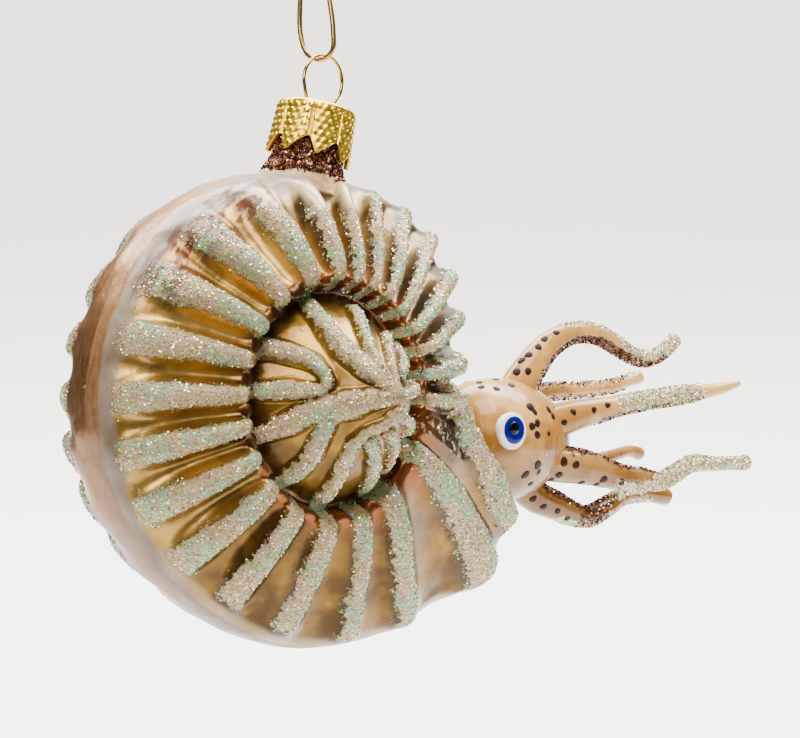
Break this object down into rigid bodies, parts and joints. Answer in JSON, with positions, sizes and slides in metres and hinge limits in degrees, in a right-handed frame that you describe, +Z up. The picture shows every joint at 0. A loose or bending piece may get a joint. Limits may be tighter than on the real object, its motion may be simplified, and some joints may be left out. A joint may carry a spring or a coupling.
{
  "type": "hanging glass shell ornament",
  "caption": "Blown-glass ammonite shell ornament with a cuttlefish head and pulled glass arms, gold crown cap, wire ring and hanging hook.",
  "frame": {"origin": "the inside top of the hook's bend, where the ornament hangs", "axes": "+Z up as it hangs; the coil lies in the XZ plane and the head points along +X"},
  "size_m": [0.1357, 0.0624, 0.1314],
  "materials": {
    "shell_glass": "silvered and lacquered amber glass, ribs frosted with iridescent glitter",
    "head_glass": "tan pearl lacquer on glass with dark brown dots",
    "arm_glass": "tan pearl lacquer on glass rod, outer halves glittered",
    "eye_enamel": "glossy white enamel with a blue iris and a black pupil",
    "cap_metal": "bright gold stamped sheet, embossed",
    "ring_wire": "bright gold spring wire",
    "hook_wire": "pale bronze bent wire"
  },
  "bodies": {
    "root": {"glass_shell": "shell_glass", "head": "head_glass", "arm_top": "arm_glass", "arm_upper_far": "arm_glass", "arm_upper_near": "arm_glass", "arm_lower_near": "arm_glass", "arm_lower_far": "arm_glass", "arm_bottom": "arm_glass", "eye_near": "eye_enamel", "eye_far": "eye_enamel", "cap": "cap_metal", "ring": "ring_wire", "hook": "hook_wire"}
  },
  "joints": []
}
